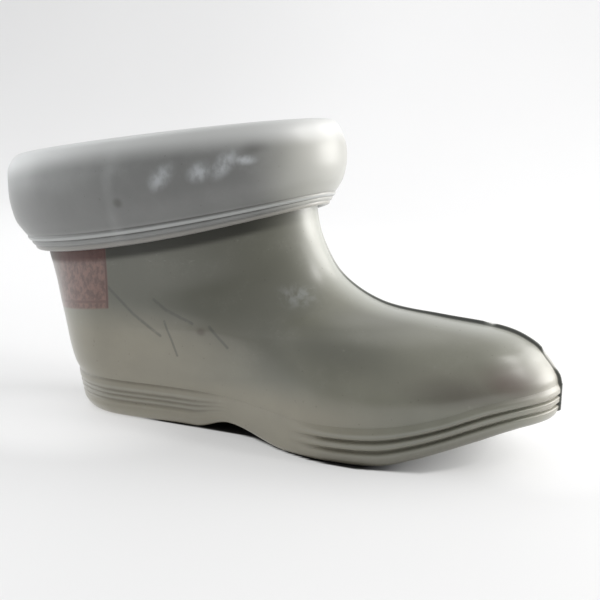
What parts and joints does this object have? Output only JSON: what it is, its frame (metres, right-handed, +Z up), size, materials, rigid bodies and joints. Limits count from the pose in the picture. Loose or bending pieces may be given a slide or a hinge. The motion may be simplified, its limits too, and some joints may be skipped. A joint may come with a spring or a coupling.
{
  "type": "dielectric overshoe boot",
  "caption": "Low rubber overshoe boot for the right foot, with a hollow upper, a turned-down cuff with a ribbed edge and a ribbed tray sole; worn over shoes as electrical insulation.",
  "frame": {"origin": "middle of the part's box, on the floor under the sole", "axes": "+X towards the toe, +Y towards the inner side of the right foot, +Z up"},
  "size_m": [0.3742, 0.1438, 0.1901],
  "materials": {
    "sole_rubber": "satin olive-grey rubber",
    "insole_lining": "matt woven lining",
    "body_rubber": "satin-gloss olive-grey rubber",
    "cuff_rubber": "satin grey rubber"
  },
  "bodies": {
    "root": {"outsole": "sole_rubber", "insole": "insole_lining", "upper": "body_rubber", "cuff": "cuff_rubber"}
  },
  "joints": []
}
